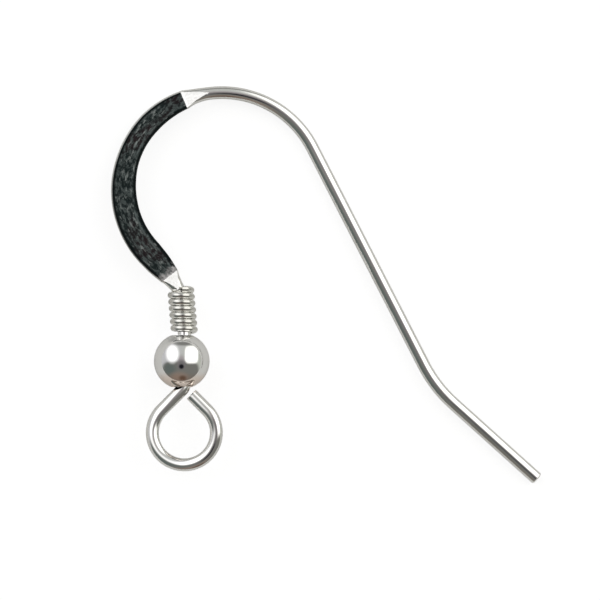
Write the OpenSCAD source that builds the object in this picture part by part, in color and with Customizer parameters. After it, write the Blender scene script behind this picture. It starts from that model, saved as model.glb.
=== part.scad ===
// Ear wire: one length of round wire bent into an ear hook. Its front is pressed flat, its neck
// carries a close-wound coil and a hollow bead, and it ends below in an open teardrop loop.
// All sizes are millimetres. The hook lies on its side on a flat surface, as it rests by itself:
// on the bead, on the crown and on the tip of the tail. X runs towards the tail, +Z is up.

/* [Wire] */
// Diameter of the round wire
wire_d = 0.7; // [0.6:0.05:0.9]

/* [Loop] */
// Width of the loop's opening
loop_opening = 2.74; // [2.2:0.02:4]
// Angle between each limb of the loop and the line of the neck
limb_angle = 45; // [42:1:50]
// Bend radius where the limb turns up into the neck
loop_bend_r = 0.5; // [0.45:0.05:0.7]
// Gap between the loop's cut end and the limb beside it
loop_gap = 0.18; // [0.1:0.01:0.5]

/* [Bead] */
// Diameter of the bead
bead_d = 3; // [2.5:0.1:4]
// Thickness of the bead's wall
bead_wall = 0.25; // [0.15:0.05:0.4]
// Room on each side of the wire in the bead's holes
bead_play = 0.22; // [0.2:0.01:0.3]
// Distance that the neck stands off the middle of the bead
neck_offset = 0.14; // [0:0.01:0.18]
// Gap between the rim of the bead's lower hole and the limb under it
limb_gap = 0.17; // [0.06:0.01:0.2]

/* [Coil] */
// Diameter of the coil's wire
coil_wire_d = 0.31; // [0.25:0.01:0.35]
// Number of turns in the coil
coil_turns = 6.4; // [4.4:0.5:9.4]
// Gap between one turn and the next
coil_turn_gap = 0.045; // [0.02:0.005:0.1]
// Gap between the coil and the neck inside it
coil_fit = 0.06; // [0.055:0.005:0.08]
// Gap between the coil and the bead under it
coil_bead_gap = 0.03; // [0.02:0.01:0.1]
// Length of the neck's bend below the coil's top strand on the inside of that bend
coil_overhang = 0.04; // [0:0.01:0.05]

/* [Neck] */
// Lean of the neck above the bead, in degrees
neck_lean = 5; // [2:0.5:6]
// Turn at the top of the neck, in degrees
neck_bend = 29.3; // [24:0.1:30]
// Radius of that turn
neck_bend_r = 0.5; // [0.45:0.05:0.8]
// Straight throat above the neck
throat_run = 0.8; // [0.7:0.01:1]
// Turn from the throat into the front, in degrees
throat_bend = 7.3; // [5:0.1:10]
// Radius of that turn
throat_bend_r = 2.5; // [1.5:0.1:4]

/* [Hook] */
// Straight start of the front
front_run = 1.62; // [1.4:0.01:2.5]
// Turn of the front, in degrees
front_bend = 91.9; // [88:0.1:96]
// Radius of the front
front_bend_r = 5.12; // [4.8:0.02:5.8]
// Turn of the crown, in degrees
crown_bend = 102.6; // [99:0.1:106]
// Radius of the crown
crown_bend_r = 5.46; // [5:0.02:6]
// Straight back leg
back_leg = 13.2; // [11:0.1:16]
// Turn from the back leg out into the tail, in degrees
tail_bend = 21; // [16:0.5:24]
// Radius of that turn
tail_bend_r = 7.1; // [5:0.1:9]
// Straight tail, up to its tip
tail_length = 6.12; // [4:0.01:8]
// Chamfer round the tip of the tail
tip_chamfer = 0.06; // [0.04:0.01:0.12]

/* [Pressed front] */
// Greatest width of the pressed stretch
press_width = 1.48; // [1.3:0.02:1.7]
// Length of the pressed stretch from crease to crease
press_length = 11.75; // [10:0.05:13]
// Length over which the wire thins below the pressed stretch
lower_ramp = 0.85; // [0.7:0.05:1.2]
// Length over which the wire thins above the pressed stretch
upper_ramp = 1.27; // [0.8:0.01:1.8]
// Distance from the end of the neck's bend to the lower ramp
press_lead = 0.1; // [0.1:0.01:0.3]

/* [Hidden] */
$fn = 72;

wire_r = wire_d / 2;
bead_r = bead_d / 2;
bead_hole_r = wire_r + bead_play;
loop_r = loop_opening / 2 + wire_r;
coil_wire_r = coil_wire_d / 2;
coil_pitch = coil_wire_d + coil_turn_gap;
coil_ring_r = wire_r + coil_fit + coil_wire_r;
coil_length = coil_turns * coil_pitch;

// Radius of the slight bend where the neck begins to lean
lean_r = 5;
// Points round a section of the pressed front, the spacing of its sections along the flat, and
// the number of sections in the ramp above it
section_sides = 24;
section_step = 0.3;
upper_sections = 6;
// Points round the coil's wire, and sections in each turn
coil_sides = 8;
coil_steps = 24;
// Angle at which the coil's upper end lies, from the outside of the neck towards the front
coil_end_angle = 85;
// The pressed stretch starts and ends in a short collar, a little larger than the round wire
// that starts inside it
collar_length = 0.06;
collar_share = 1.013;
// A turn draws the wire a little thinner, and reaches this far into the straights beside it
turn_share = 0.996;
turn_overlap = 0.02;
// Spacing of the places at which the hook's extent is measured
reach_step = 0.1;

// Places on the neck's line, measured from the middle of the bead
bead_rim = sqrt(pow(bead_r, 2) - pow(bead_hole_r, 2));
limb_room = wire_r + limb_gap - (bead_hole_r + neck_offset) * cos(limb_angle);
apex_drop = bead_rim + limb_room / sin(limb_angle);
loop_bend_reach = loop_bend_r * tan(limb_angle / 2);
coil_start = sqrt(pow(bead_r + coil_bead_gap + coil_wire_r, 2) - pow(coil_ring_r, 2));

// Straight lengths that follow from the pieces that they hold or clear
limb_reach = loop_r / tan(limb_angle);
end_clearance = wire_r + loop_gap + wire_r * cos(2 * limb_angle);
cut_back = end_clearance / sin(2 * limb_angle);
bead_run = apex_drop - loop_bend_reach + bead_rim;
neck_start = bead_rim + neck_lean * lean_r * PI / 180;
top_strand = coil_start + coil_length - coil_pitch * (180 + coil_end_angle) / 360;
neck_run = top_strand - coil_overhang - neck_start;

// The wire as it is bent, from the loop's cut end to the tip of the tail. A row is a straight
// feed, then a turn in degrees, to the left where it is positive, and the radius of that turn.
FEED = 0;
TURN = 1;
RADIUS = 2;
bends = [
    [limb_reach - cut_back, -(180 + 2 * limb_angle), loop_r],
    [limb_reach - loop_bend_reach, limb_angle, loop_bend_r],
    [bead_run, neck_lean, lean_r],
    [neck_run, neck_bend, neck_bend_r],
    [throat_run, throat_bend, throat_bend_r],
    [front_run, -front_bend, front_bend_r],
    [0, -crown_bend, crown_bend_r],
    [back_leg, tail_bend, tail_bend_r],
    [tail_length, 0, 0]
];
NECK = 3;
THROAT = 4;
CROWN = 6;

// A place on the wire is its x, its y and the heading of the wire there. The first one is the
// loop's cut end, where the limb runs down and away from the line of the neck.
HEADING = 2;
wire_start = [
    neck_offset + cut_back * sin(limb_angle),
    -apex_drop - cut_back * cos(limb_angle),
    limb_angle - 90
];

function arc_length(row) = abs(row[TURN]) * row[RADIUS] * PI / 180;

function ahead(place, feed) = [
    place.x + feed * cos(place[HEADING]),
    place.y + feed * sin(place[HEADING]),
    place[HEADING]
];

// Middle of a turn that starts at a place
function turn_middle(place, turn, radius) = [
    place.x - sign(turn) * radius * sin(place[HEADING]),
    place.y + sign(turn) * radius * cos(place[HEADING])
];

function around(place, turn, radius) =
    let (middle = turn_middle(place, turn, radius), heading = place[HEADING] + turn)
    [
        middle.x + sign(turn) * radius * sin(heading),
        middle.y - sign(turn) * radius * cos(heading),
        heading
    ];

// Length of wire before a row of the table
function used(row_number) =
    row_number == 0
        ? 0
        : used(row_number - 1) + bends[row_number - 1][FEED] + arc_length(bends[row_number - 1]);

// The place at a length along the wire
function along(length, row_number = 0, place = wire_start) =
    let (
        row = bends[row_number],
        feed = row[FEED],
        arc = arc_length(row),
        bend_start = ahead(place, feed)
    )
    length <= feed || row_number == len(bends) - 1
        ? ahead(place, length)
        : length <= feed + arc
            ? around(bend_start, row[TURN] * (length - feed) / arc, row[RADIUS])
            : along(length - feed - arc, row_number + 1, around(bend_start, row[TURN], row[RADIUS]));

// Lengths along the wire at which its features lie
wire_length = used(len(bends));
press_start_at = used(THROAT) + press_lead;
press_total = lower_ramp + press_length + upper_ramp;
press_end_at = press_start_at + press_total;

// Width of the pressed stretch: a share of its length, then a share of its greatest width
press_table = [
    [0.00, 0.75],
    [0.05, 0.89],
    [0.08, 0.95],
    [0.14, 1.00],
    [0.20, 0.99],
    [0.30, 0.96],
    [0.40, 0.94],
    [0.50, 0.90],
    [0.60, 0.84],
    [0.70, 0.82],
    [0.80, 0.82],
    [0.90, 0.77],
    [1.00, 0.70]
];

// Pressing keeps the area of the section, which is two flat faces with round edges
wire_area = PI * pow(wire_r, 2);
edge_loss = 1 - PI / 4;
function pressed_thickness(width) =
    (width - sqrt(pow(width, 2) - 4 * edge_loss * wire_area)) / (2 * edge_loss);
function pressed_width(thickness) = (wire_area + edge_loss * pow(thickness, 2)) / thickness;

// Thickness of the wire at a length past the start of the lower ramp
function thickness_at(length) =
    let (
        share = max(0, min(1, (length - lower_ramp) / press_length)),
        pressed = pressed_thickness(press_width * lookup(share, press_table)),
        below = max(0, 1 - length / lower_ramp),
        above = max(0, 1 - (press_total - length) / upper_ramp)
    )
    pressed + (wire_d - pressed) * max(below, above);

// Ring of points round the pressed wire at a length past the start of the lower ramp
function press_ring(length, size_share = 1) =
    let (
        place = along(press_start_at + length),
        thickness = thickness_at(length),
        edge_r = size_share * thickness / 2,
        flat_half = (pressed_width(thickness) - thickness) / 2
    )
    [
        for (k = [0 : section_sides - 1])
        let (
            angle = 360 * (k + 0.5) / section_sides,
            side = sign(cos(angle)) * flat_half + edge_r * cos(angle)
        )
        [
            place.x + side * sin(place[HEADING]),
            place.y - side * cos(place[HEADING]),
            edge_r * sin(angle)
        ]
    ];

// Where the sections of the pressed stretch lie, with both creases among them
function spaced(from, to) =
    let (count = ceil((to - from) / section_step))
    [for (i = [1 : count]) from + (to - from) * i / count];
section_places = concat(
    spaced(0, lower_ramp),
    spaced(lower_ramp, lower_ramp + press_length),
    [for (i = [1 : upper_sections - 1]) press_total - upper_ramp * (1 - i / upper_sections)]
);

// Middle of the crown and the tip of the tail give the line on which the hook tips over until
// the bead touches the surface. The line touches the crown and passes through the tip.
crown_start = along(used(CROWN));
crown_middle = turn_middle(crown_start, -crown_bend, crown_bend_r);
tail_tip = along(wire_length - tip_chamfer);
crown_to_tip = [tail_tip.x - crown_middle.x, tail_tip.y - crown_middle.y];
away_angle = atan2(crown_to_tip.y, crown_to_tip.x) + acos(crown_bend_r / norm(crown_to_tip));
away_from_line = [cos(away_angle), sin(away_angle)];
line_distance = away_from_line * [tail_tip.x, tail_tip.y];
lay_tilt = asin((bead_r - wire_r) / line_distance);
lay_axis = [away_from_line.y, -away_from_line.x, 0];

// Direction in the flat hook that points along a direction once the hook is laid down
function before_laying(direction) =
    direction * cos(lay_tilt)
    + cross(lay_axis, direction) * sin(lay_tilt)
    + lay_axis * (lay_axis * direction) * (1 - cos(lay_tilt));

// Furthest that the wire reaches in a direction, once it is laid down
function reach(direction) =
    let (way = before_laying(direction))
    max([
        for (i = [0 : ceil(wire_length / reach_step)])
        let (
            length = min(wire_length, i * reach_step),
            place = along(length),
            run = [cos(place[HEADING]), sin(place[HEADING]), 0],
            across = [sin(place[HEADING]), -cos(place[HEADING]), 0],
            past_start = length - press_start_at,
            is_pressed = past_start > 0 && past_start < press_total,
            thickness = is_pressed ? thickness_at(past_start) : wire_d,
            flat_half = is_pressed ? (pressed_width(thickness) - thickness) / 2 : 0,
            edge_r = min(thickness / 2, wire_r - tip_chamfer + wire_length - length)
        )
        [place.x, place.y, 0] * way
            + flat_half * abs(across * way)
            + edge_r * norm(way - run * (run * way))
    ]);
middle_x = (reach([1, 0, 0]) - reach([-1, 0, 0])) / 2;
middle_y = (reach([0, 1, 0]) - reach([0, -1, 0])) / 2;

// Tips the flat hook over until it rests, with the middle of its outline over the origin
module laid_down() {
    translate([-middle_x, -middle_y, bead_r])
        rotate(a = -lay_tilt, v = lay_axis)
            children();
}

// Closed solid through a list of rings that all have the same number of points
module skin(rings) {
    sides = len(rings[0]);
    last = len(rings) - 1;
    points = [for (ring = rings) each ring];
    start_face = [for (k = [sides - 1 : -1 : 0]) k];
    end_face = [for (k = [0 : sides - 1]) last * sides + k];
    side_faces = [
        for (i = [0 : last - 1], k = [0 : sides - 1])
        let (
            here = i * sides + k,
            beside = i * sides + (k + 1) % sides
        )
        each [[here, beside, beside + sides], [here, beside + sides, here + sides]]
    ];
    polyhedron(points = points, faces = concat([start_face], side_faces, [end_face]));
}

// Straight round wire between two lengths along the wire
module straight_wire(from, to) {
    place = along(from);
    if (to > from)
        translate([place.x, place.y, 0])
            rotate([0, 90, place[HEADING]])
                cylinder(h = to - from, r = wire_r);
}

// Round wire between two lengths along the turn of one row
module turned_wire(row, from, to) {
    place = along(from);
    overlap = turn_overlap / row[RADIUS] * 180 / PI;
    sweep = (to - from) / row[RADIUS] * 180 / PI;
    begin = row[TURN] > 0 ? place[HEADING] - 90 : place[HEADING] + 90 - sweep;
    if (to > from)
        translate(turn_middle(place, row[TURN], row[RADIUS]))
            rotate([0, 0, begin - overlap])
                rotate_extrude(angle = sweep + 2 * overlap)
                    translate([row[RADIUS], 0])
                        circle(r = wire_r * turn_share);
}

// Round wire between two lengths along the wire, row by row
module round_wire(from, to) {
    for (i = [0 : len(bends) - 2]) {
        row_start = used(i);
        turn_start = row_start + bends[i][FEED];
        straight_wire(max(from, row_start), min(to, turn_start));
        turned_wire(bends[i], max(from, turn_start), min(to, used(i + 1)));
    }
}

// The front, pressed flat between two ramps that rise to the round wire
module pressed_front() {
    skin(concat(
        [press_ring(-collar_length, collar_share), press_ring(0, collar_share)],
        [for (length = section_places) press_ring(length)],
        [
            press_ring(press_total, collar_share),
            press_ring(press_total + collar_length, collar_share)
        ]
    ));
}

// The straight tail and the chamfer round its tip
module tail() {
    place = along(wire_length - tail_length);
    translate([place.x, place.y, 0])
        rotate([0, 90, place[HEADING]])
            union() {
                cylinder(h = tail_length - tip_chamfer, r = wire_r);
                translate([0, 0, tail_length - tip_chamfer])
                    cylinder(h = tip_chamfer, r1 = wire_r, r2 = wire_r - tip_chamfer);
            }
}

module ear_wire() {
    color("silver")
        laid_down()
            union() {
                round_wire(0, press_start_at - collar_length / 2);
                pressed_front();
                round_wire(press_end_at + collar_length / 2, wire_length);
                tail();
            }
}

// Section of the coil's wire at an angle round the neck. The coil climbs the neck with its
// strands rising to the left in front.
function coil_ring(angle) =
    let (
        turns_below = coil_turns + (angle - coil_end_angle) / 360,
        place = ahead(along(used(NECK)), coil_start - neck_start + coil_pitch * turns_below),
        run = [cos(place[HEADING]), sin(place[HEADING]), 0],
        outward = [
            cos(angle) * sin(place[HEADING]),
            -cos(angle) * cos(place[HEADING]),
            sin(angle)
        ]
    )
    [
        for (k = [0 : coil_sides - 1])
        let (turn = 360 * (k + 0.5) / coil_sides)
        [place.x, place.y, 0]
            + outward * (coil_ring_r + coil_wire_r * cos(turn))
            + run * coil_wire_r * sin(turn)
    ];

module coil() {
    count = ceil(coil_turns * coil_steps);
    color("gainsboro")
        laid_down()
            skin([
                for (i = [0 : count])
                coil_ring(coil_end_angle - 360 * coil_turns * (1 - i / count))
            ]);
}

// A hollow ball, drilled through along the line of the neck
module bead() {
    color("lightgray")
        laid_down()
            rotate([90, 0, 0])
                difference() {
                    sphere(r = bead_r);
                    sphere(r = bead_r - bead_wall);
                    cylinder(r = bead_hole_r, h = 2 * bead_d, center = true);
                }
}

ear_wire();
coil();
bead();
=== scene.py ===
import math

import bpy
from mathutils import Matrix, Vector, noise


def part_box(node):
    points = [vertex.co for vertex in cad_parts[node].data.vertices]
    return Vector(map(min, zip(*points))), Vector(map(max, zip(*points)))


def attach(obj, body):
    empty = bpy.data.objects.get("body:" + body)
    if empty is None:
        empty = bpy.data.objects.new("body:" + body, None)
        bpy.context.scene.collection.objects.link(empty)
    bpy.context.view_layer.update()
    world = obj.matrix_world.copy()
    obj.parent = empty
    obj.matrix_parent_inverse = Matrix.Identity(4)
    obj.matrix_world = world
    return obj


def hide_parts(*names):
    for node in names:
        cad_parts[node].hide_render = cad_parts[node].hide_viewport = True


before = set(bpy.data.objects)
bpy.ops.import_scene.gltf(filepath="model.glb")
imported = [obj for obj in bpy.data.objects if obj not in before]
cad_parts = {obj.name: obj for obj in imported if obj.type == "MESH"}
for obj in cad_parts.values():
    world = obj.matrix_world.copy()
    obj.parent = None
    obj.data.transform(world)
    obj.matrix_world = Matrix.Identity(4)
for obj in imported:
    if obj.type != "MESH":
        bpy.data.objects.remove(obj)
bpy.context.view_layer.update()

bpy.ops.object.select_all(action="DESELECT")


# ---- Ear wire ----
# One length of 0.7 mm sterling silver wire, drawn round and polished. It is pressed flat along
# its front between dies, which leave that face finely pitted, and is then bent round pegs, from
# the open loop at the bottom over the crown to the tail. The pressed face's darkness is partly a
# patina and partly painted reflection: the dark of the lens opening overhead, which a polished
# flat mirrors, is painted in. Sizes here are millimetres.
MM = 0.001
WIRE_R = 0.35
WIRE_SIDES = 62
# The polished skin lies this far inside the solid's round surfaces
SKIN = 0.003
BEAD_R = 1.5
BEAD_HOLE_R = 0.57
NECK_OFFSET = 0.14
LIMB_GAP = 0.17
LOOP_R = 2.74 / 2 + WIRE_R
LOOP_GAP = 0.18
LOOP_BEND_R = 0.5
LIMB_ANGLE = math.radians(45)
COIL_WIRE_R = 0.155
COIL_RING_R = 0.565
COIL_PITCH = 0.355
COIL_TURNS = 6.4
COIL_END_ANGLE = 85
COIL_OVERHANG = 0.04
COIL_BEAD_GAP = 0.03
NECK_LEAN = 5
LEAN_R = 5
BACK_LEG = 13.2
TAIL = 6.12
TIP_CHAMFER = 0.06
LOOP_END_ROUND = 0.02
LOOP_END_LENGTH = 0.03
CROWN_R = 5.46
# Rows of the bend table at which the neck, the throat and the crown begin
NECK_ROW = 3
THROAT_ROW = 4
CROWN_ROW = 6
# Two lengths this close are the same
NEAR = 0.001

# Places on the neck, measured from the middle of the bead
bead_rim = math.sqrt(BEAD_R**2 - BEAD_HOLE_R**2)
limb_room = WIRE_R + LIMB_GAP - (BEAD_HOLE_R + NECK_OFFSET) * math.cos(LIMB_ANGLE)
apex_drop = bead_rim + limb_room / math.sin(LIMB_ANGLE)
loop_bend_reach = LOOP_BEND_R * math.tan(LIMB_ANGLE / 2)
limb_reach = LOOP_R / math.tan(LIMB_ANGLE)
cut_back = (WIRE_R + LOOP_GAP) / math.sin(2 * LIMB_ANGLE)
coil_start = math.sqrt((BEAD_R + COIL_BEAD_GAP + COIL_WIRE_R) ** 2 - COIL_RING_R**2)
neck_start = bead_rim + math.radians(NECK_LEAN) * LEAN_R
top_strand = coil_start + COIL_PITCH * (COIL_TURNS - (180 + COIL_END_ANGLE) / 360)
neck_run = top_strand - COIL_OVERHANG - neck_start

# The wire as it is bent, from the loop's cut end to the tip of the tail: a straight feed, then a
# turn in degrees, to the left where it is positive, and the radius of that turn
bends = [
    (limb_reach - cut_back, -270, LOOP_R),
    (limb_reach - loop_bend_reach, 45, LOOP_BEND_R),
    (apex_drop - loop_bend_reach + bead_rim, NECK_LEAN, LEAN_R),
    (neck_run, 29.3, 0.5),
    (0.8, 7.3, 2.5),
    (1.62, -91.9, 5.12),
    (0, -102.6, CROWN_R),
    (BACK_LEG, 21, 7.1),
    (TAIL, 0, 1),
]
wire_start = (
    NECK_OFFSET + cut_back * math.sin(LIMB_ANGLE),
    -apex_drop - cut_back * math.cos(LIMB_ANGLE),
    -45,
)


def used(row_number):
    """Length of wire before a row of the bend table."""
    return sum(
        feed + math.radians(abs(turn)) * radius for feed, turn, radius in bends[:row_number]
    )


def along(length):
    """Place on the wire at a length from the loop's cut end: x, y and heading in degrees."""
    x, y, heading = wire_start
    for row_number, (feed, turn, radius) in enumerate(bends):
        straight = length if row_number == len(bends) - 1 else min(feed, length)
        x += straight * math.cos(math.radians(heading))
        y += straight * math.sin(math.radians(heading))
        length -= straight
        arc = math.radians(abs(turn)) * radius
        if length <= 0 or arc == 0:
            break
        side = math.copysign(radius, turn)
        middle_x = x - side * math.sin(math.radians(heading))
        middle_y = y + side * math.cos(math.radians(heading))
        heading += turn * min(1, length / arc)
        x = middle_x + side * math.sin(math.radians(heading))
        y = middle_y - side * math.cos(math.radians(heading))
        length -= arc
        if length <= 0:
            break
    return x, y, heading


# The pressed front: the wire thins over a ramp, stays pressed between two creases and thickens
# again. The table gives its width as a share of the greatest width, along the pressed length.
PRESS_WIDTH = 1.48
PRESS_LENGTH = 11.75
LOWER_RAMP = 0.85
UPPER_RAMP = 1.27
PRESS_LEAD = 0.1
PRESS_TABLE = [
    (0.00, 0.75), (0.05, 0.89), (0.08, 0.95), (0.14, 1.00), (0.20, 0.99), (0.30, 0.96),
    (0.40, 0.94), (0.50, 0.90), (0.60, 0.84), (0.70, 0.82), (0.80, 0.82), (0.90, 0.77),
    (1.00, 0.70),
]
# Half the angle of the arc that is left of the round wire at each edge of the pressed face
OUTER_ARC = 62
INNER_ARC = 36
WIRE_LENGTH = used(len(bends))
press_start = used(THROAT_ROW) + PRESS_LEAD
lower_crease = press_start + LOWER_RAMP
upper_crease = lower_crease + PRESS_LENGTH
press_end = upper_crease + UPPER_RAMP
WIRE_AREA = math.pi * WIRE_R**2
EDGE_LOSS = 1 - math.pi / 4
RAMP_EASE = 1.35
# The topmost point of a ring, as a share of the quarter circle
TOP_SHARE = (WIRE_SIDES // 4) * 4 / WIRE_SIDES


def press_share(length):
    """Share of the way from the lower crease to the upper one, from 0 to 1."""
    return max(0, min(1, (length - lower_crease) / PRESS_LENGTH))


def pressed_section(length):
    """Thickness, width and share of pressing of the wire at a length."""
    share = press_share(length)
    for (low, low_width), (high, high_width) in zip(PRESS_TABLE, PRESS_TABLE[1:]):
        if share <= high:
            width = low_width + (high_width - low_width) * (share - low) / (high - low)
            break
    width *= PRESS_WIDTH
    thickness = (width - math.sqrt(width**2 - 4 * EDGE_LOSS * WIRE_AREA)) / (2 * EDGE_LOSS)
    below = max(0, (lower_crease - length) / LOWER_RAMP)
    above = max(0, (length - upper_crease) / UPPER_RAMP)
    risen = max(below, 1 - (1 - above) ** RAMP_EASE)
    thickness += (2 * WIRE_R - thickness) * risen
    width = (WIRE_AREA + EDGE_LOSS * thickness**2) / thickness
    return thickness, width, 1 - max(below, above)


def edge_arc(length, across):
    """Arc at one edge of the section at a length: its radius and half its angle in degrees."""
    thickness, width, pressed = pressed_section(length)
    half_angle = 90 + pressed * ((INNER_ARC if across > 0 else OUTER_ARC) - 90)
    top = half_angle * TOP_SHARE
    return thickness / 2 / math.sin(math.radians(top)), half_angle


# Where the rings of the wire's mesh lie: close together in the turns and along the front
DEGREES_A_RING = 3
FEWEST_STEPS = 3
RAMP_SPACING = 0.06
FLAT_SPACING = 0.04
RING_ROOM = 0.02
NECK_FADE = 0.1
neck_bend_start = used(NECK_ROW) + neck_run
ring_places = [0.0, LOOP_END_LENGTH, neck_bend_start - NECK_FADE]
for row_number, (feed, turn, radius) in enumerate(bends):
    turn_start = used(row_number) + feed
    turn_steps = max(FEWEST_STEPS, math.ceil(abs(turn) / DEGREES_A_RING)) if turn else 0
    arc = used(row_number + 1) - turn_start
    ring_places.append(turn_start)
    ring_places.extend(turn_start + arc * (i + 1) / turn_steps for i in range(turn_steps))
ring_places = [
    p for p in ring_places if p < press_start - RING_ROOM or p > press_end + RING_ROOM
]
for begin, end, spacing in (
    (press_start, lower_crease, RAMP_SPACING),
    (lower_crease, upper_crease, FLAT_SPACING),
    (upper_crease, press_end, RAMP_SPACING),
):
    count = math.ceil((end - begin) / spacing)
    ring_places.extend(begin + (end - begin) * i / count for i in range(count))
ring_places.append(press_end)
ring_places = [p for p in ring_places if p < WIRE_LENGTH - TIP_CHAMFER - NEAR]
ring_places.extend([WIRE_LENGTH - TIP_CHAMFER, WIRE_LENGTH])
ring_places.sort()

# The straight rod, drawn ring by ring along +X
bpy.ops.mesh.primitive_circle_add(
    vertices=WIRE_SIDES, radius=WIRE_R - SKIN, rotation=(0, math.pi / 2, 0)
)
ear_wire = bpy.context.object
ear_wire.name = "silver_wire"
bpy.ops.object.transform_apply(location=True, rotation=True, scale=True)
bpy.ops.object.mode_set(mode="EDIT")
bpy.ops.mesh.select_all(action="SELECT")
for here, there in zip(ring_places, ring_places[1:]):
    bpy.ops.mesh.extrude_region_move(TRANSFORM_OT_translate={"value": (there - here, 0, 0)})
bpy.ops.object.mode_set(mode="OBJECT")
rod = ear_wire.data

# Both ends are trimmed, the loop's end lightly and the tip of the tail with a chamfer
for vertex in rod.vertices:
    if vertex.co.x < NEAR:
        vertex.co.yz *= 1 - LOOP_END_ROUND / WIRE_R
    elif vertex.co.x > WIRE_LENGTH - NEAR:
        vertex.co.yz *= 1 - TIP_CHAMFER / WIRE_R

# Pressing: each ring is squeezed to two flat faces with rounded edges
for vertex in rod.vertices:
    if press_start < vertex.co.x < press_end:
        across, up = vertex.co.y, vertex.co.z
        width = pressed_section(vertex.co.x)[1]
        arc_r, half_angle = edge_arc(vertex.co.x, across)
        turn = math.atan2(up, abs(across)) * half_angle / 90
        vertex.co.y = math.copysign(width / 2 - SKIN - arc_r * (1 - math.cos(turn)), across)
        vertex.co.z = arc_r * math.sin(turn)

# The two flat faces are divided across, so that the dies' dents are real relief
bpy.ops.object.mode_set(mode="EDIT")
bpy.ops.mesh.select_mode(type="EDGE")
bpy.ops.mesh.select_all(action="DESELECT")
bpy.ops.object.mode_set(mode="OBJECT")
FLAT_CUTS = 23
LEAST_FLAT = 0.2
for edge in rod.edges:
    a, b = (rod.vertices[i].co for i in edge.vertices)
    between_creases = lower_crease - NEAR < a.x < upper_crease + NEAR
    edge.select = between_creases and abs(a.x - b.x) < NEAR and abs(a.y - b.y) > LEAST_FLAT
bpy.ops.object.mode_set(mode="EDIT")
bpy.ops.mesh.subdivide(number_cuts=FLAT_CUTS)
bpy.ops.object.mode_set(mode="OBJECT")
DENT_DEPTH = 0.004
DENTS_PER_MM = Vector((2.2, 3.6, 9))
FINER_DENTS = 2.3
FINER_DEPTH = 0.5
DENT_MARGIN = 0.1
EDGE_FADE = 0.15
CREASE_FADE = 0.2
for vertex in rod.vertices:
    if lower_crease < vertex.co.x < upper_crease:
        width = pressed_section(vertex.co.x)[1]
        from_edge = width / 2 - DENT_MARGIN - abs(vertex.co.y)
        from_crease = min(vertex.co.x - lower_crease, upper_crease - vertex.co.x)
        fade = max(0, min(1, from_edge / EDGE_FADE)) * min(1, from_crease / CREASE_FADE)
        spot = vertex.co * DENTS_PER_MM
        dent = noise.noise(spot) + FINER_DEPTH * noise.noise(spot * FINER_DENTS)
        vertex.co.z += math.copysign(DENT_DEPTH * fade * dent, vertex.co.z)

# The finishes follow the straight rod: its place along, across and through the wire, and the
# share of the way along and across the pressed face
rod_place = rod.attributes.new("rod_place", "FLOAT_VECTOR", "POINT")
face_place = rod.attributes.new("face_place", "FLOAT_VECTOR", "POINT")
for vertex in rod.vertices:
    rod_place.data[vertex.index].vector = vertex.co
    if lower_crease - NEAR < vertex.co.x < upper_crease + NEAR:
        arc_r, half_angle = edge_arc(vertex.co.x, vertex.co.y)
        bulge = arc_r * (1 - math.cos(math.radians(half_angle * TOP_SHARE)))
        face_half = pressed_section(vertex.co.x)[1] / 2 - bulge
        share = (vertex.co.x - lower_crease) / PRESS_LENGTH
        face_place.data[vertex.index].vector = (share, vertex.co.y / face_half, 0)

# The ends are closed, and faces are told apart: round wire 0, pressed face 1, struck ramp 2
bpy.ops.object.mode_set(mode="EDIT")
bpy.ops.mesh.select_all(action="DESELECT")
bpy.ops.mesh.select_mode(type="EDGE")
bpy.ops.object.mode_set(mode="OBJECT")
for end in (0, WIRE_LENGTH):
    for edge in rod.edges:
        edge.select = all(abs(rod.vertices[i].co.x - end) < NEAR for i in edge.vertices)
    bpy.ops.object.mode_set(mode="EDIT")
    bpy.ops.mesh.edge_face_add()
    bpy.ops.mesh.select_all(action="DESELECT")
    bpy.ops.object.mode_set(mode="OBJECT")
bpy.ops.object.mode_set(mode="EDIT")
bpy.ops.mesh.select_all(action="SELECT")
bpy.ops.mesh.normals_make_consistent(inside=False)
bpy.ops.mesh.select_all(action="DESELECT")
bpy.ops.object.mode_set(mode="OBJECT")
LEVEL_NORMAL = 0.97
LEAST_FACET = 0.05
for face in rod.polygons:
    spread = [rod.vertices[i].co.y for i in face.vertices]
    if lower_crease < face.center.x < upper_crease:
        face.material_index = 1
    elif press_start < face.center.x < press_end and abs(face.normal.z) > LEVEL_NORMAL:
        face.material_index = 2 if max(spread) - min(spread) > LEAST_FACET else 0

# The upper crease is crisp
for edge in rod.edges:
    ends = [rod.vertices[i].co for i in edge.vertices]
    edge.use_edge_sharp = all(abs(p.x - upper_crease) < NEAR for p in ends)

# On the real hook the loop is not quite flat: seen from its cut end it climbs, and then sinks
# towards the bead. The solid is flat there, so only the shading leans, by these slopes along the
# wire and across it at each share of the way round the loop.
LOOP_LEAN = [
    (0.0, -0.2, 0.0), (0.1, -0.2, 0.0), (0.18, 0.0, 0.05), (0.24, 0.05, 0.03), (0.32, 0.2, 0.0),
    (0.5, 0.27, 0.03), (0.6, 0.22, -0.08), (0.68, 0.12, -0.12), (0.75, 0.02, -0.15),
    (0.8, -0.06, -0.2), (0.97, -0.05, -0.18), (1.0, 0.0, 0.0),
]
loop_length = used(1) + bends[1][0]


def loop_lean(length):
    """Slopes of the loop's wire, along it and across it, at a length from its cut end."""
    share = length / loop_length
    for (low, *low_slopes), (high, *high_slopes) in zip(LOOP_LEAN, LOOP_LEAN[1:]):
        if share <= high:
            way = (share - low) / (high - low)
            return [a + (b - a) * way for a, b in zip(low_slopes, high_slopes)]
    return 0, 0


# The neck's bend reaches a little lower on the real hook, into the coil, so its left flank shows
# the dark near side of the tent. The shading above the coil sinks by this slope for it.
NECK_SLOPE = -0.3
RAMP_FADE = 0.3


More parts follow.
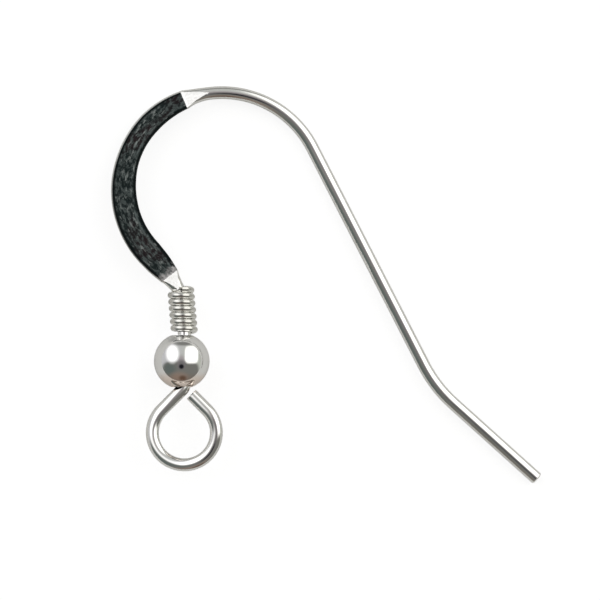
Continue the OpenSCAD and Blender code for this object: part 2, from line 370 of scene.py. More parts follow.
def neck_slope(length):
    """Slope of the neck's wire at a length, full at its bend and none beyond the ramp's foot."""
    begun = (length - neck_bend_start + NECK_FADE) / NECK_FADE
    left = (press_start + RAMP_FADE - length) / RAMP_FADE
    return NECK_SLOPE * max(0, min(1, begun, left))


# Bending: every point of the rod goes round the bend table
lean = rod.attributes.new("lean", "FLOAT_VECTOR", "POINT")
for vertex in rod.vertices:
    x, y, heading = along(vertex.co.x)
    slope, roll = loop_lean(vertex.co.x)
    slope += neck_slope(vertex.co.x)
    forward = Vector((math.cos(math.radians(heading)), math.sin(math.radians(heading)), 0))
    sideways = Vector((forward.y, -forward.x, 0))
    lean.data[vertex.index].vector = slope * forward + roll * sideways
    vertex.co = Vector((x, y, vertex.co.z)) + vertex.co.y * sideways

# Laid on its side the hook rests on the bead, on the crown and on the tip of the tail. The line
# that touches the crown and passes through the tip is the one on which it tips over.
crown_x, crown_y, crown_heading = along(used(CROWN_ROW))
middle_x = crown_x + CROWN_R * math.sin(math.radians(crown_heading))
middle_y = crown_y - CROWN_R * math.cos(math.radians(crown_heading))
tip_x, tip_y, _ = along(WIRE_LENGTH - TIP_CHAMFER)
to_tip = Vector((tip_x - middle_x, tip_y - middle_y))
away_angle = math.atan2(to_tip.y, to_tip.x) + math.acos(CROWN_R / to_tip.length)
line_distance = math.cos(away_angle) * tip_x + math.sin(away_angle) * tip_y
LAY_TILT = -math.asin((BEAD_R - WIRE_R) / line_distance)
bead_low, bead_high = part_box("bead")
BEAD_MIDDLE = (bead_low + bead_high) / 2


def lay_down(piece):
    """Takes a piece from the flat hook, in millimetres from the bead's middle, to its place."""
    bpy.ops.object.select_all(action="DESELECT")
    piece.select_set(True)
    bpy.context.view_layer.objects.active = piece
    piece.rotation_mode = "AXIS_ANGLE"
    piece.rotation_axis_angle = (LAY_TILT, math.sin(away_angle), -math.cos(away_angle), 0)
    piece.location = BEAD_MIDDLE
    piece.scale = (MM, MM, MM)
    bpy.ops.object.transform_apply(location=True, rotation=True, scale=True)


lay_down(ear_wire)
CREASE_ANGLE = 20
FLAT_WEIGHT = 80
bpy.ops.object.shade_smooth_by_angle(angle=math.radians(CREASE_ANGLE))
weighted = ear_wire.modifiers.new("weighted", "WEIGHTED_NORMAL")
weighted.keep_sharp = True
weighted.weight = FLAT_WEIGHT
bpy.ops.object.modifier_apply(modifier=weighted.name)


def link(material, source, target):
    """Joins two sockets of a material."""
    material.node_tree.links.new(source, target)


def add_node(tree, kind, **settings):
    """Adds a node and sets its own settings."""
    node = tree.nodes.new(kind)
    for name, value in settings.items():
        setattr(node, name, value)
    return node


VECTOR = "NodeSocketVector"
NUMBER = "NodeSocketFloat"


def new_group(name, inputs, outputs):
    """A node group with named inputs and outputs, each with its kind. Returns the group and its
    two end nodes."""
    group = bpy.data.node_groups.new(name, "ShaderNodeTree")
    for label, kind in inputs.items():
        group.interface.new_socket(name=label, in_out="INPUT", socket_type=kind)
    for label, kind in outputs.items():
        group.interface.new_socket(name=label, in_out="OUTPUT", socket_type=kind)
    return group, add_node(group, "NodeGroupInput"), add_node(group, "NodeGroupOutput")


def drawn_metal_group():
    """Fine lines left by the draw plate, and the smudges of a polished surface, from a place in
    millimetres whose X runs along the metal."""
    group, taken, given = new_group(
        "drawn metal",
        {"Place": VECTOR, "Line Length": NUMBER, "Line Width": NUMBER, "Smudge Size": NUMBER},
        {"Lines": NUMBER, "Smudges": NUMBER},
    )
    grain = add_node(group, "ShaderNodeCombineXYZ")
    stretched = add_node(group, "ShaderNodeVectorMath", operation="DIVIDE")
    lines = add_node(group, "ShaderNodeTexNoise")
    lines.inputs["Scale"].default_value = 1
    lines.inputs["Detail"].default_value = 3
    spread = add_node(group, "ShaderNodeVectorMath", operation="SCALE")
    size = add_node(group, "ShaderNodeMath", operation="DIVIDE")
    size.inputs[0].default_value = 1
    smudges = add_node(group, "ShaderNodeTexNoise")
    smudges.inputs["Scale"].default_value = 1
    smudges.inputs["Detail"].default_value = 4
    smudges.inputs["Roughness"].default_value = 0.6
    join = group.links.new
    join(taken.outputs["Line Length"], grain.inputs["X"])
    join(taken.outputs["Line Width"], grain.inputs["Y"])
    join(taken.outputs["Line Width"], grain.inputs["Z"])
    join(taken.outputs["Place"], stretched.inputs[0])
    join(grain.outputs["Vector"], stretched.inputs[1])
    join(stretched.outputs["Vector"], lines.inputs["Vector"])
    join(taken.outputs["Smudge Size"], size.inputs[1])
    join(taken.outputs["Place"], spread.inputs[0])
    join(size.outputs["Value"], spread.inputs["Scale"])
    join(spread.outputs["Vector"], smudges.inputs["Vector"])
    join(lines.outputs["Fac"], given.inputs["Lines"])
    join(smudges.outputs["Fac"], given.inputs["Smudges"])
    return group


def leaning_normal_group():
    """Leans a surface's normal by a vector."""
    group, taken, given = new_group(
        "leaning normal", {"Normal": VECTOR, "Lean": VECTOR}, {"Normal": VECTOR}
    )
    leaning = add_node(group, "ShaderNodeVectorMath", operation="ADD")
    straight = add_node(group, "ShaderNodeVectorMath", operation="NORMALIZE")
    join = group.links.new
    join(taken.outputs["Normal"], leaning.inputs[0])
    join(taken.outputs["Lean"], leaning.inputs[1])
    join(leaning.outputs["Vector"], straight.inputs[0])
    join(straight.outputs["Vector"], given.inputs["Normal"])
    return group


DRAWN_METAL = drawn_metal_group()
LEANING_NORMAL = leaning_normal_group()
SMUDGE_SIZE = 0.9


def lean_normal(tree, lean):
    """Leans the normal that a finish uses, by a vector or a socket that gives one."""
    surface = tree.nodes["Principled BSDF"]
    leaning = add_node(tree, "ShaderNodeGroup", node_tree=LEANING_NORMAL)
    tree.links.new(surface.inputs["Normal"].links[0].from_socket, leaning.inputs["Normal"])
    if isinstance(lean, tuple):
        leaning.inputs["Lean"].default_value = lean
    else:
        tree.links.new(lean, leaning.inputs["Lean"])
    tree.links.new(leaning.outputs["Normal"], surface.inputs["Normal"])


def drawn_silver(name, light, dull, gloss, haze, line_length, line_width, relief):
    """A bright silver finish on drawn metal, from its two tints, its least and greatest roughness,
    and the length, width and relief of its lines. Returns the material and its Place socket."""
    material = bpy.data.materials.new(name)
    material.use_nodes = True
    tree = material.node_tree
    surface = tree.nodes["Principled BSDF"]
    surface.inputs["Metallic"].default_value = 1
    metal = add_node(tree, "ShaderNodeGroup", node_tree=DRAWN_METAL)
    metal.inputs["Line Length"].default_value = line_length
    metal.inputs["Line Width"].default_value = line_width
    metal.inputs["Smudge Size"].default_value = SMUDGE_SIZE
    tint = add_node(tree, "ShaderNodeMix", data_type="RGBA")
    tint.inputs["A"].default_value = (*light, 1)
    tint.inputs["B"].default_value = (*dull, 1)
    tint_share = add_node(tree, "ShaderNodeMapRange", interpolation_type="SMOOTHSTEP")
    tint_share.inputs["From Min"].default_value = 0.42
    tint_share.inputs["From Max"].default_value = 0.72
    roughness = add_node(tree, "ShaderNodeMapRange")
    roughness.inputs["From Min"].default_value = 0.35
    roughness.inputs["From Max"].default_value = 0.7
    roughness.inputs["To Min"].default_value = gloss
    roughness.inputs["To Max"].default_value = haze
    bump = add_node(tree, "ShaderNodeBump")
    bump.inputs["Distance"].default_value = relief * MM
    link(material, metal.outputs["Smudges"], tint_share.inputs["Value"])
    link(material, tint_share.outputs["Result"], tint.inputs["Factor"])
    link(material, tint.outputs["Result"], surface.inputs["Base Color"])
    link(material, metal.outputs["Smudges"], roughness.inputs["Value"])
    link(material, roughness.outputs["Result"], surface.inputs["Roughness"])
    link(material, metal.outputs["Lines"], bump.inputs["Height"])
    link(material, bump.outputs["Normal"], surface.inputs["Normal"])
    return material, metal.inputs["Place"]


# Round wire: bright, with faint lines along it
round_silver, round_place = drawn_silver(
    "round wire silver",
    light=(0.93, 0.925, 0.905),
    dull=(0.86, 0.85, 0.82),
    gloss=0.07,
    haze=0.16,
    line_length=1.4,
    line_width=0.03,
    relief=0.0006,
)
place = add_node(round_silver.node_tree, "ShaderNodeAttribute", attribute_name="rod_place")
link(round_silver, place.outputs["Vector"], round_place)
wire_lean = add_node(round_silver.node_tree, "ShaderNodeAttribute", attribute_name="lean")
lean_normal(round_silver.node_tree, wire_lean.outputs["Vector"])

# Pressed face: dark and greenish, with lighter flecks drawn out along the wire and a broken paler
# line beside the inner edge. Its dark colours are partly a patina and partly painted reflection:
# the black of the lens opening overhead, which a polished flat mirrors, is painted into the face
# so that it shows from every side. It is black along both edges, rubbed bright on the very rim
# of the outer one, bare silver again at the lower crease and pale satin next to the upper one.
PATINA_AND_REFLECTION_GREEN = (0.020, 0.030, 0.030)
PATINA_AND_REFLECTION_RUST = (0.034, 0.026, 0.028)
PATINA_AND_REFLECTION_WORN = (0.115, 0.140, 0.136)
FLECK = (0.36, 0.40, 0.385)
FLECK_STRENGTH = 0.8
STREAK = (0.17, 0.205, 0.20)
STREAK_STRENGTH = 0.8
STREAK_PLACE = 0.63
EDGE_BLACK = (0.010, 0.015, 0.015)
RUBBED = (0.85, 0.85, 0.83)
BARE = (0.72, 0.71, 0.70)
BARE_RAGGED = 0.09
SATIN_LIGHT = (0.97, 0.965, 0.95)
SATIN_DULL = (0.84, 0.83, 0.81)
SATIN_METALLIC = 0.75
PIT_RELIEF = 0.006
FACE_ROUGHNESS = (0.26, 0.42)
# The struck ramps slope, and their shading leans this much further towards the light
RAMP_LEAN = (-0.3, 0.22, 0)
pressed_silver = bpy.data.materials.new("pressed face")
pressed_silver.use_nodes = True
tree = pressed_silver.node_tree
surface = tree.nodes["Principled BSDF"]
surface.inputs["Metallic"].default_value = 1
place = add_node(tree, "ShaderNodeAttribute", attribute_name="rod_place")
face = add_node(tree, "ShaderNodeAttribute", attribute_name="face_place")
face_parts = add_node(tree, "ShaderNodeSeparateXYZ")
link(pressed_silver, face.outputs["Vector"], face_parts.inputs["Vector"])


def struck_mottle_group():
    """Noise drawn out along the wire, as the dies leave it, from the place on the straight rod."""
    group, taken, given = new_group(
        "struck mottle",
        {"Place": VECTOR, "Scale": VECTOR, "Detail": NUMBER, "Roughness": NUMBER},
        {"Mottle": NUMBER},
    )
    stretch = add_node(group, "ShaderNodeVectorMath", operation="MULTIPLY")
    texture = add_node(group, "ShaderNodeTexNoise")
    texture.inputs["Scale"].default_value = 1
    join = group.links.new
    join(taken.outputs["Place"], stretch.inputs[0])
    join(taken.outputs["Scale"], stretch.inputs[1])
    join(stretch.outputs["Vector"], texture.inputs["Vector"])
    join(taken.outputs["Detail"], texture.inputs["Detail"])
    join(taken.outputs["Roughness"], texture.inputs["Roughness"])
    join(texture.outputs["Fac"], given.inputs["Mottle"])
    return group


STRUCK_MOTTLE = struck_mottle_group()


def struck_mottle(tree, place, along_scale, across_scale, detail, roughness):
    """Places the struck mottle in a material, with its own scales, detail and roughness."""
    mottle = add_node(tree, "ShaderNodeGroup", node_tree=STRUCK_MOTTLE)
    mottle.inputs["Scale"].default_value = (along_scale, across_scale, across_scale)
    mottle.inputs["Detail"].default_value = detail
    mottle.inputs["Roughness"].default_value = roughness
    tree.links.new(place.outputs["Vector"], mottle.inputs["Place"])
    return mottle.outputs["Mottle"]


def ramp_between(tree, value, low, high, to_low=0.0, to_high=1.0):
    """A smooth step of a value between two limits, from one result to another."""
    step = add_node(tree, "ShaderNodeMapRange", interpolation_type="SMOOTHSTEP")
    limits = {"From Min": low, "From Max": high, "To Min": to_low, "To Max": to_high}
    for name, number in limits.items():
        step.inputs[name].default_value = number
    tree.links.new(value, step.inputs["Value"])
    return step.outputs["Result"]


def arithmetic(tree, operation, first, second):
    """A Math node on two values, each a socket or a number."""
    node = add_node(tree, "ShaderNodeMath", operation=operation)
    for socket, value in zip(node.inputs, (first, second)):
        if isinstance(value, (int, float)):
            socket.default_value = value
        else:
            tree.links.new(value, socket)
    return node.outputs["Value"]


def mixed_colour(tree, share, first, second):
    """A mix of two colours, each a socket or a colour, by a share."""
    node = add_node(tree, "ShaderNodeMix", data_type="RGBA")
    tree.links.new(share, node.inputs["Factor"])
    for socket, value in ((node.inputs["A"], first), (node.inputs["B"], second)):
        if isinstance(value, tuple):
            socket.default_value = (*value, 1)
        else:
            tree.links.new(value, socket)
    return node.outputs["Result"]


# What the dies left on the face: the mottle's scale along the wire and across it, in waves to the
# millimetre, its detail and its roughness
FACE_MOTTLES = {
    "worn": (3.4, 6, 3, 0.7),
    "flecks": (2.2, 5.5, 2, 0.6),
    "rust": (0.45, 0.9, 1, 0.5),
    "streak": (0.9, 0.3, 1, 0.5),
    "blotches": (4, 5, 2, 0.5),
    "pits": (9, 14, 2, 0.6),
}
# The values of those mottles between which they begin to show and show in full
WORN_STEP = (0.44, 0.62)
FLECK_STEP = (0.56, 0.7)
RUST_STEP = (0.48, 0.62)
STREAK_STEP = (0.4, 0.55)
PIT_STEP = (0.3, 0.7)
# Shares of the way across the face, from its middle, and along it
STREAK_FADE = (0.02, 0.13)
BLACK_FADE = (0.74, 0.88)
RUBBED_FADE = (-1.13, -0.98)
BARE_FADE = (0.035, 0.085)
SATIN_FADE = (0.986, 0.991)
across_face = face_parts.outputs["Y"]
along_face = face_parts.outputs["X"]
left_by_dies = {
    name: struck_mottle(tree, place, *values) for name, values in FACE_MOTTLES.items()
}
worn = ramp_between(tree, left_by_dies["worn"], *WORN_STEP)
flecks = ramp_between(tree, left_by_dies["flecks"], *FLECK_STEP)
rust = ramp_between(tree, left_by_dies["rust"], *RUST_STEP)
# The face's dark ground: patina tones with the painted dark reflection of the opening overhead in
# them
dark = mixed_colour(tree, rust, PATINA_AND_REFLECTION_GREEN, PATINA_AND_REFLECTION_RUST)
mottled = mixed_colour(tree, worn, dark, PATINA_AND_REFLECTION_WORN)
fleck_share = arithmetic(tree, "MULTIPLY", flecks, FLECK_STRENGTH)
flecked = mixed_colour(tree, fleck_share, mottled, FLECK)
beyond_streak = arithmetic(tree, "SUBTRACT", across_face, STREAK_PLACE)
streak_offset = arithmetic(tree, "ABSOLUTE", beyond_streak, 0.0)
streak = ramp_between(tree, streak_offset, *STREAK_FADE, STREAK_STRENGTH, 0.0)
streak_gaps = ramp_between(tree, left_by_dies["streak"], *STREAK_STEP)
broken_streak = arithmetic(tree, "MULTIPLY", streak, streak_gaps)
streaked = mixed_colour(tree, broken_streak, flecked, STREAK)
edge_distance = arithmetic(tree, "ABSOLUTE", across_face, 0.0)
# Black towards both edges, part of the painted dark reflection
black_edge = ramp_between(tree, edge_distance, *BLACK_FADE)
edged = mixed_colour(tree, black_edge, streaked, EDGE_BLACK)
rubbed_edge = ramp_between(tree, across_face, *RUBBED_FADE, 1.0, 0.0)
rubbed = mixed_colour(tree, rubbed_edge, edged, RUBBED)
ragged = arithmetic(tree, "MULTIPLY", left_by_dies["blotches"], BARE_RAGGED)
fade_edge = arithmetic(tree, "ADD", along_face, ragged)
bare = ramp_between(tree, fade_edge, *BARE_FADE, 1.0, 0.0)
lower_faded = mixed_colour(tree, bare, rubbed, BARE)
satin = ramp_between(tree, along_face, *SATIN_FADE)
satin_end = mixed_colour(tree, satin, lower_faded, SATIN_LIGHT)
less_metallic = arithmetic(tree, "MULTIPLY", satin, 1 - SATIN_METALLIC)
metallic = arithmetic(tree, "SUBTRACT", 1.0, less_metallic)
link(pressed_silver, satin_end, surface.inputs["Base Color"])
link(pressed_silver, metallic, surface.inputs["Metallic"])
pits = left_by_dies["pits"]
pit_roughness = ramp_between(tree, pits, *PIT_STEP, *FACE_ROUGHNESS)
link(pressed_silver, pit_roughness, surface.inputs["Roughness"])
bump = add_node(tree, "ShaderNodeBump")
bump.inputs["Distance"].default_value = PIT_RELIEF * MM
link(pressed_silver, pits, bump.inputs["Height"])
link(pressed_silver, bump.outputs["Normal"], surface.inputs["Normal"])
satin_lean = add_node(tree, "ShaderNodeVectorMath", operation="MULTIPLY")
satin_lean.inputs[1].default_value = RAMP_LEAN
link(pressed_silver, satin, satin_lean.inputs[0])
lean_normal(tree, satin_lean.outputs["Vector"])

# Struck ramps: the dies' sloping shoulders leave a pale satin facet
SATIN_MOTTLE = (6, 16, 3, 0.6)
SATIN_STEP = (0.35, 0.7)
RAMP_ROUGHNESS = (0.38, 0.46)
SATIN_RELIEF = 0.002
ramp_silver = bpy.data.materials.new("struck ramp")
ramp_silver.use_nodes = True
tree = ramp_silver.node_tree
surface = tree.nodes["Principled BSDF"]
surface.inputs["Metallic"].default_value = SATIN_METALLIC
place = add_node(tree, "ShaderNodeAttribute", attribute_name="rod_place")
satin = struck_mottle(tree, place, *SATIN_MOTTLE)
satin_share = ramp_between(tree, satin, *SATIN_STEP)
satin_tint = mixed_colour(tree, satin_share, SATIN_LIGHT, SATIN_DULL)
link(ramp_silver, satin_tint, surface.inputs["Base Color"])
satin_roughness = ramp_between(tree, satin, *PIT_STEP, *RAMP_ROUGHNESS)
link(ramp_silver, satin_roughness, surface.inputs["Roughness"])
bump = add_node(tree, "ShaderNodeBump")
bump.inputs["Distance"].default_value = SATIN_RELIEF * MM
link(ramp_silver, satin, bump.inputs["Height"])
link(ramp_silver, bump.outputs["Normal"], surface.inputs["Normal"])
lean_normal(tree, RAMP_LEAN)

for material in (round_silver, pressed_silver, ramp_silver):
    rod.materials.append(material)
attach(ear_wire, "root")
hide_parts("ear_wire")


# ---- Coil ----
# A close-wound spring of finer silver wire, slipped over the neck above the bead. Both of its
# ends are nipped off square.
COIL_SIDES = 24
COIL_STEPS = 48
# The solid's turns keep a clear gap. The real ones touch, so the wire is this much thicker here.
COIL_SKIN = 0.018
SPRING_CREASE = 40
# The colour of the painted shade between the coil's turns, and where on the strand it begins
CREVICE_SHADE = (0.66, 0.65, 0.61)
CREVICE_SHADE_START = 0.8
neck_x, neck_y, neck_heading = along(used(NECK_ROW))
coil_length = COIL_TURNS * COIL_PITCH
bpy.ops.mesh.primitive_circle_add(
    vertices=COIL_SIDES,
    radius=COIL_WIRE_R + COIL_SKIN,
    location=(COIL_RING_R - COIL_SKIN / 2, 0, 0),
    rotation=(math.pi / 2, 0, 0),
)
coil = bpy.context.object
coil.name = "silver_coil"
bpy.ops.object.transform_apply(location=True, rotation=True, scale=True)
winding = coil.modifiers.new("winding", "SCREW")
winding.axis = "Z"
winding.angle = math.radians(-360 * COIL_TURNS)
winding.screw_offset = coil_length
winding.steps = winding.render_steps = math.ceil(COIL_TURNS * COIL_STEPS)
winding.use_smooth_shade = True
bpy.ops.object.modifier_apply(modifier=winding.name)
bpy.ops.object.mode_set(mode="EDIT")
bpy.ops.mesh.select_all(action="DESELECT")
bpy.ops.mesh.select_mode(type="EDGE")
bpy.ops.mesh.select_non_manifold()
bpy.ops.mesh.edge_face_add()
bpy.ops.mesh.select_all(action="SELECT")
bpy.ops.mesh.normals_make_consistent(inside=False)
bpy.ops.object.mode_set(mode="OBJECT")

# A rod place for the wire's own lines: the length along the wire, then where it lies in the wire
coil_rod = coil.data.attributes.new("rod_place", "FLOAT_VECTOR", "POINT")
ring_length = math.hypot(2 * math.pi * COIL_RING_R, COIL_PITCH) / COIL_STEPS
for vertex in coil.data.vertices:
    ring, spot = divmod(vertex.index, COIL_SIDES)
    turn = 2 * math.pi * spot / COIL_SIDES
    coil_rod.data[vertex.index].vector = (
        ring * ring_length, COIL_WIRE_R * math.cos(turn), COIL_WIRE_R * math.sin(turn)
    )

# The coil climbs the neck from the bead, its strands rising to the left in front, as seen from
# above the hook
coil_heading = math.radians(neck_heading)
run = Vector((math.cos(coil_heading), math.sin(coil_heading), 0))
outside = Vector((math.sin(coil_heading), -math.cos(coil_heading), 0))
foot = Vector((neck_x, neck_y, 0)) + run * (coil_start - neck_start)
start_turn = math.radians(360 * COIL_TURNS - COIL_END_ANGLE)
coil.matrix_world = Matrix.Translation(foot) @ Matrix(
    ((outside.x, 0, run.x), (outside.y, 0, run.y), (0, -1, 0))
).to_4x4() @ Matrix.Rotation(start_turn, 4, "Z")
bpy.ops.object.transform_apply(location=True, rotation=True, scale=True)
lay_down(coil)
bpy.ops.object.shade_smooth_by_angle(angle=math.radians(SPRING_CREASE))

coil_silver, coil_place = drawn_silver(
    "coil wire silver",
    light=(0.95, 0.945, 0.915),
    dull=(0.89, 0.88, 0.84),
    gloss=0.12,
    haze=0.18,
    line_length=1.1,
    line_width=0.04,
    relief=0.0002,
)
tree = coil_silver.node_tree
place = add_node(tree, "ShaderNodeAttribute", attribute_name="rod_place")
link(coil_silver, place.outputs["Vector"], coil_place)
# Painted shade between the turns: each strand darkens towards the sides where it meets the next,
# standing in for the shade in the crevices
place_parts = add_node(tree, "ShaderNodeSeparateXYZ")
link(coil_silver, place.outputs["Vector"], place_parts.inputs["Vector"])
between = arithmetic(tree, "ABSOLUTE", place_parts.outputs["Z"], 0.0)
crevice_shade = ramp_between(tree, between, CREVICE_SHADE_START * COIL_WIRE_R, COIL_WIRE_R)
surface = tree.nodes["Principled BSDF"]
bright = surface.inputs["Base Color"].links[0].from_socket
crevice_shaded = mixed_colour(tree, crevice_shade, bright, CREVICE_SHADE)
link(coil_silver, crevice_shaded, surface.inputs["Base Color"])
coil.data.materials.append(coil_silver)
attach(coil, "root")
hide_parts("coil")


# ---- Bead ----
# A seamless hollow silver ball, drilled through and polished to a mirror, threaded on the neck.
# The rims of its two holes are turned over a little, where the drill's burr was rubbed down.
BEAD_WALL = 0.25
RIM_ROUND = 0.035
RIM_CREASE = 40
RIM_NEAR = 0.003
# The warm tint of the bead's lower part, and the heights where it begins and is full
LOWER_WARM_TINT = (0.93, 0.81, 0.735)
WARM_TINT_EDGE = 0.38
WARM_TINT_FULL = 0.68
bpy.ops.mesh.primitive_uv_sphere_add(segments=96, ring_count=64, radius=BEAD_R - SKIN)
bead = bpy.context.object
bead.name = "silver_bead"
bpy.ops.object.mode_set(mode="EDIT")
outer_rim = math.sqrt((BEAD_R - SKIN) ** 2 - BEAD_HOLE_R**2)
inner_rim = math.sqrt((BEAD_R - BEAD_WALL) ** 2 - BEAD_HOLE_R**2)
for side in (-1, 1):
    bpy.ops.mesh.select_all(action="SELECT")
    bpy.ops.mesh.bisect(
        plane_co=(0, 0, side * outer_rim), plane_no=(0, 0, side), clear_outer=True
    )
bpy.ops.mesh.select_all(action="DESELECT")
bpy.ops.object.mode_set(mode="OBJECT")
bpy.ops.mesh.primitive_uv_sphere_add(segments=96, ring_count=48, radius=BEAD_R - BEAD_WALL)
bpy.ops.object.mode_set(mode="EDIT")
for side in (-1, 1):
    bpy.ops.mesh.select_all(action="SELECT")
    bpy.ops.mesh.bisect(
        plane_co=(0, 0, side * inner_rim), plane_no=(0, 0, side), clear_outer=True
    )
bpy.ops.object.mode_set(mode="OBJECT")
bead.select_set(True)
bpy.context.view_layer.objects.active = bead
bpy.ops.object.join()
for side in (-1, 1):
    bpy.ops.object.mode_set(mode="EDIT")
    bpy.ops.mesh.select_mode(type="EDGE")
    bpy.ops.mesh.select_all(action="DESELECT")
    bpy.ops.object.mode_set(mode="OBJECT")
    for edge in bead.data.edges:
        ends = [bead.data.vertices[i].co for i in edge.vertices]
        at_rim = all(abs(p.xy.length - BEAD_HOLE_R) < RIM_NEAR and side * p.z > 0 for p in ends)
        edge.select = at_rim and abs(ends[0].z - ends[1].z) < NEAR
    bpy.ops.object.mode_set(mode="EDIT")
    bpy.ops.mesh.bridge_edge_loops()
bpy.ops.mesh.select_all(action="SELECT")
bpy.ops.mesh.normals_make_consistent(inside=False)
bpy.ops.mesh.select_all(action="DESELECT")
bpy.ops.object.mode_set(mode="OBJECT")
for edge in bead.data.edges:
    ends = [bead.data.vertices[i].co for i in edge.vertices]
    edge.select = all(abs(abs(p.z) - outer_rim) < NEAR for p in ends)
bpy.ops.object.mode_set(mode="EDIT")
bpy.ops.mesh.bevel(offset=RIM_ROUND, segments=4, affect="EDGES")
bpy.ops.object.mode_set(mode="OBJECT")
bead.rotation_euler = (-math.pi / 2, 0, 0)
bpy.ops.object.transform_apply(location=True, rotation=True, scale=True)
bead_place = bead.data.attributes.new("rod_place", "FLOAT_VECTOR", "POINT")
for vertex in bead.data.vertices:
    bead_place.data[vertex.index].vector = vertex.co
lay_down(bead)
bpy.ops.object.shade_smooth_by_angle(angle=math.radians(RIM_CREASE))
weighted = bead.modifiers.new("weighted", "WEIGHTED_NORMAL")
weighted.keep_sharp = True
bpy.ops.object.modifier_apply(modifier=weighted.name)

bead_silver, polish_place = drawn_silver(
    "mirror silver",
    light=(0.945, 0.94, 0.93),
    dull=(0.90, 0.895, 0.885),
    gloss=0.045,
    haze=0.09,
    line_length=0.5,
    line_width=0.05,
    relief=0.0002,
)
tree = bead_silver.node_tree
place = add_node(tree, "ShaderNodeAttribute", attribute_name="rod_place")
link(bead_silver, place.outputs["Vector"], polish_place)
# The bead is tinted warm over its lower part, round the lower hole, fading out towards its middle
place_parts = add_node(tree, "ShaderNodeSeparateXYZ")
link(bead_silver, place.outputs["Vector"], place_parts.inputs["Vector"])
above_hole = place_parts.outputs["Y"]
warm_share = ramp_between(tree, above_hole, -WARM_TINT_FULL * BEAD_R, -WARM_TINT_EDGE * BEAD_R, 1.0, 0.0)
surface = tree.nodes["Principled BSDF"]
bright = surface.inputs["Base Color"].links[0].from_socket
warm_tinted = mixed_colour(tree, warm_share, bright, LOWER_WARM_TINT)
link(bead_silver, warm_tinted, surface.inputs["Base Color"])
bead.data.materials.append(bead_silver)
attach(bead, "root")
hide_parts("bead")


# ---- Floor ----
# A wide sheet of plain white card. Seen directly it is almost burnt out, as a light table is,
# with only a trace of the hook's soft shadow; the metal mirrors it as a light grey.
FLOOR_HALF = 1.5
FLOOR_DROP = 0.01 * MM
CARD_BURN = 0.84
CARD_SEEN = (0.3, 0.3, 0.3)
FIBRE_DARK = (0.82, 0.82, 0.80)
FIBRE_LIGHT = (0.86, 0.86, 0.84)
FIBRE_SCALE = 2500
bpy.ops.object.select_all(action="DESELECT")
bpy.ops.mesh.primitive_plane_add(size=2 * FLOOR_HALF, location=(0, 0, -FLOOR_DROP))
card = bpy.context.object
card.name = "white_card"
bpy.ops.object.transform_apply(location=True, rotation=True, scale=True)
card_white = bpy.data.materials.new("white card")
card_white.use_nodes = True
tree = card_white.node_tree
tree.nodes.clear()
output = add_node(tree, "ShaderNodeOutputMaterial")
both = add_node(tree, "ShaderNodeAddShader")
paper = add_node(tree, "ShaderNodeBsdfDiffuse")
glow = add_node(tree, "ShaderNodeEmission")
rays = add_node(tree, "ShaderNodeLightPath")
seen = rays.outputs["Is Camera Ray"]
fibre = add_node(tree, "ShaderNodeTexNoise")
fibre.inputs["Scale"].default_value = FIBRE_SCALE
where = add_node(tree, "ShaderNodeTexCoord")
link(card_white, where.outputs["Object"], fibre.inputs["Vector"])
fibre_tint = mixed_colour(tree, fibre.outputs["Fac"], FIBRE_DARK, FIBRE_LIGHT)
link(card_white, mixed_colour(tree, seen, fibre_tint, CARD_SEEN), paper.inputs["Color"])
link(card_white, arithmetic(tree, "MULTIPLY", seen, CARD_BURN), glow.inputs["Strength"])
link(card_white, paper.outputs["BSDF"], both.inputs[0])
link(card_white, glow.outputs["Emission"], both.inputs[1])
link(card_white, both.outputs["Shader"], output.inputs["Surface"])
card.data.materials.append(card_white)


# ---- Light ----
# A light tent of grey cloth with two large soft boxes beyond the hook, a duller gap between them
# and a dim strip behind them. The near side is dark and open, with a warm wooden edge low down,
# and the lens looks in through a small black opening overhead.
LEFT_CLOTH = (0.53, 0.53, 0.545)
RIGHT_CLOTH = (0.47, 0.485, 0.44)
CLOTH_TURN = (-0.5, 0.6)
NEAR_SIDE = (0.168, 0.167, 0.153)
BOX_GAP = (0.36, 0.33, 0.34)
NEAR_CORNER = (0.118, 0.138, 0.13)
WOOD_EDGE = (0.235, 0.19, 0.16)
WOOD_SHADE = (0.118, 0.08, 0.06)
LEFT_BOX = (1.5, 1.5, 1.5)
RIGHT_BOX = (1.5, 1.49, 1.46)
FAR_STRIP = (0.20, 0.20, 0.19)
LENS_RIM = (0.165, 0.156, 0.16)
LENS_BLACK = (0.01, 0.01, 0.014)
# A patch has no limit in the third direction
ENDLESS = 1e6
studio = bpy.data.worlds.new("light tent")
bpy.context.scene.world = studio
studio.use_nodes = True
tree = studio.node_tree
tent = tree.nodes["Background"]
where = add_node(tree, "ShaderNodeTexCoord")
halfway = add_node(tree, "ShaderNodeVectorMath", operation="ADD")
halfway.inputs[1].default_value = (0, 0, 1)
mirror = add_node(tree, "ShaderNodeVectorMath", operation="NORMALIZE")
tree.links.new(where.outputs["Generated"], halfway.inputs[0])
tree.links.new(halfway.outputs["Vector"], mirror.inputs[0])
sides = add_node(tree, "ShaderNodeSeparateXYZ")
tree.links.new(mirror.outputs["Vector"], sides.inputs["Vector"])


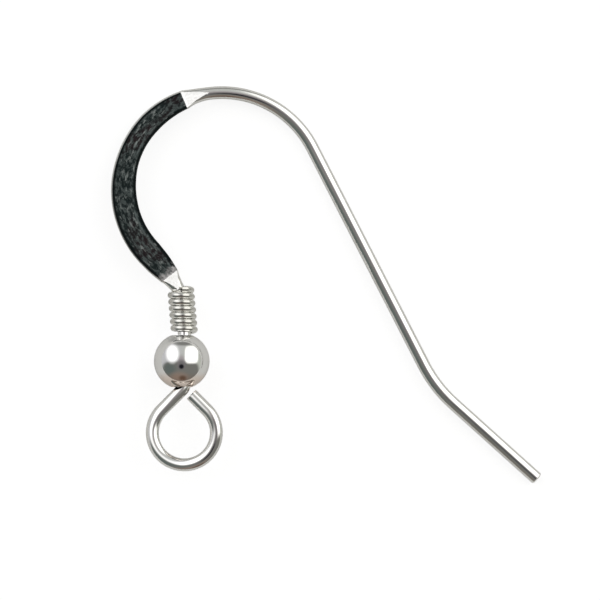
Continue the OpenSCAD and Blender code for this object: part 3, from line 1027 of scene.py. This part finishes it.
def lay_patch(below, middle, half, softness, colour, square_corners):
    """Lays a soft-edged patch of light over the tent. Its middle and half size are where a
    mirror ball under the lens shows it, in radii of the ball."""
    shift = add_node(tree, "ShaderNodeVectorMath", operation="SUBTRACT")
    shift.inputs[1].default_value = (*middle, 0)
    size = add_node(tree, "ShaderNodeVectorMath", operation="DIVIDE")
    size.inputs[1].default_value = (*half, ENDLESS)
    far = add_node(tree, "ShaderNodeVectorMath", operation="LENGTH")
    tree.links.new(mirror.outputs["Vector"], shift.inputs[0])
    tree.links.new(shift.outputs["Vector"], size.inputs[0])
    if square_corners:
        square = add_node(tree, "ShaderNodeVectorMath", operation="MULTIPLY")
        tree.links.new(size.outputs["Vector"], square.inputs[0])
        tree.links.new(size.outputs["Vector"], square.inputs[1])
        tree.links.new(square.outputs["Vector"], far.inputs[0])
    else:
        tree.links.new(size.outputs["Vector"], far.inputs[0])
    share = ramp_between(tree, far.outputs["Value"], 1 - softness, 1 + softness, 1.0, 0.0)
    return mixed_colour(tree, share, below, colour)


# The patches in the order in which they are laid: middle, half size, softness, colour, and whether
# the corners are nearly square
PATCHES = [
    ((-0.02, -0.41), (0.64, 0.41), 0.2, NEAR_SIDE, True),
    ((0.0, 0.0), (0.12, 0.21), 0.5, BOX_GAP, False),
    ((-0.43, -0.28), (0.22, 0.22), 0.6, NEAR_CORNER, False),
    ((-0.08, -0.54), (0.29, 0.15), 0.65, WOOD_EDGE, False),
    ((0.04, -0.60), (0.12, 0.09), 0.6, WOOD_SHADE, False),
    ((-0.32, 0.27), (0.20, 0.28), 0.5, LEFT_BOX, False),
    ((0.365, 0.24), (0.225, 0.30), 0.5, RIGHT_BOX, True),
    ((0.06, 0.635), (0.34, 0.07), 0.6, FAR_STRIP, False),
    ((0.0, -0.12), (0.15, 0.17), 0.5, LENS_RIM, False),
    ((0.005, -0.185), (0.085, 0.085), 0.5, LENS_BLACK, False),
]
side_share = ramp_between(tree, sides.outputs["X"], *CLOTH_TURN)
cloth = mixed_colour(tree, side_share, LEFT_CLOTH, RIGHT_CLOTH)
for patch in PATCHES:
    cloth = lay_patch(cloth, *patch)
rays = add_node(tree, "ShaderNodeLightPath")
backdrop = mixed_colour(tree, rays.outputs["Is Camera Ray"], cloth, (1.0, 1.0, 1.0))
tree.links.new(backdrop, tent.inputs["Color"])


# ---- Camera ----
# A long lens straight above, with the hook lying a little right of the middle, as photographed.
# The frame is as wide as the photo at the height of the wire.
FRAME_WIDTH = 32.35 * MM
LOOK_AT = (-1.4234 * MM, -0.8367 * MM, 0.85 * MM)
LENS = 200
SENSOR = 36
bpy.ops.object.camera_add(rotation=(0, 0, 0))
camera = bpy.context.object
camera.name = "overhead_camera"
camera.data.lens = LENS
camera.data.sensor_width = SENSOR
camera_height = FRAME_WIDTH * LENS / SENSOR
camera.location = (LOOK_AT[0], LOOK_AT[1], LOOK_AT[2] + camera_height)
camera.data.clip_start = 0.005
camera.data.clip_end = 20
bpy.context.scene.camera = camera
bpy.context.scene.view_settings.view_transform = "Standard"
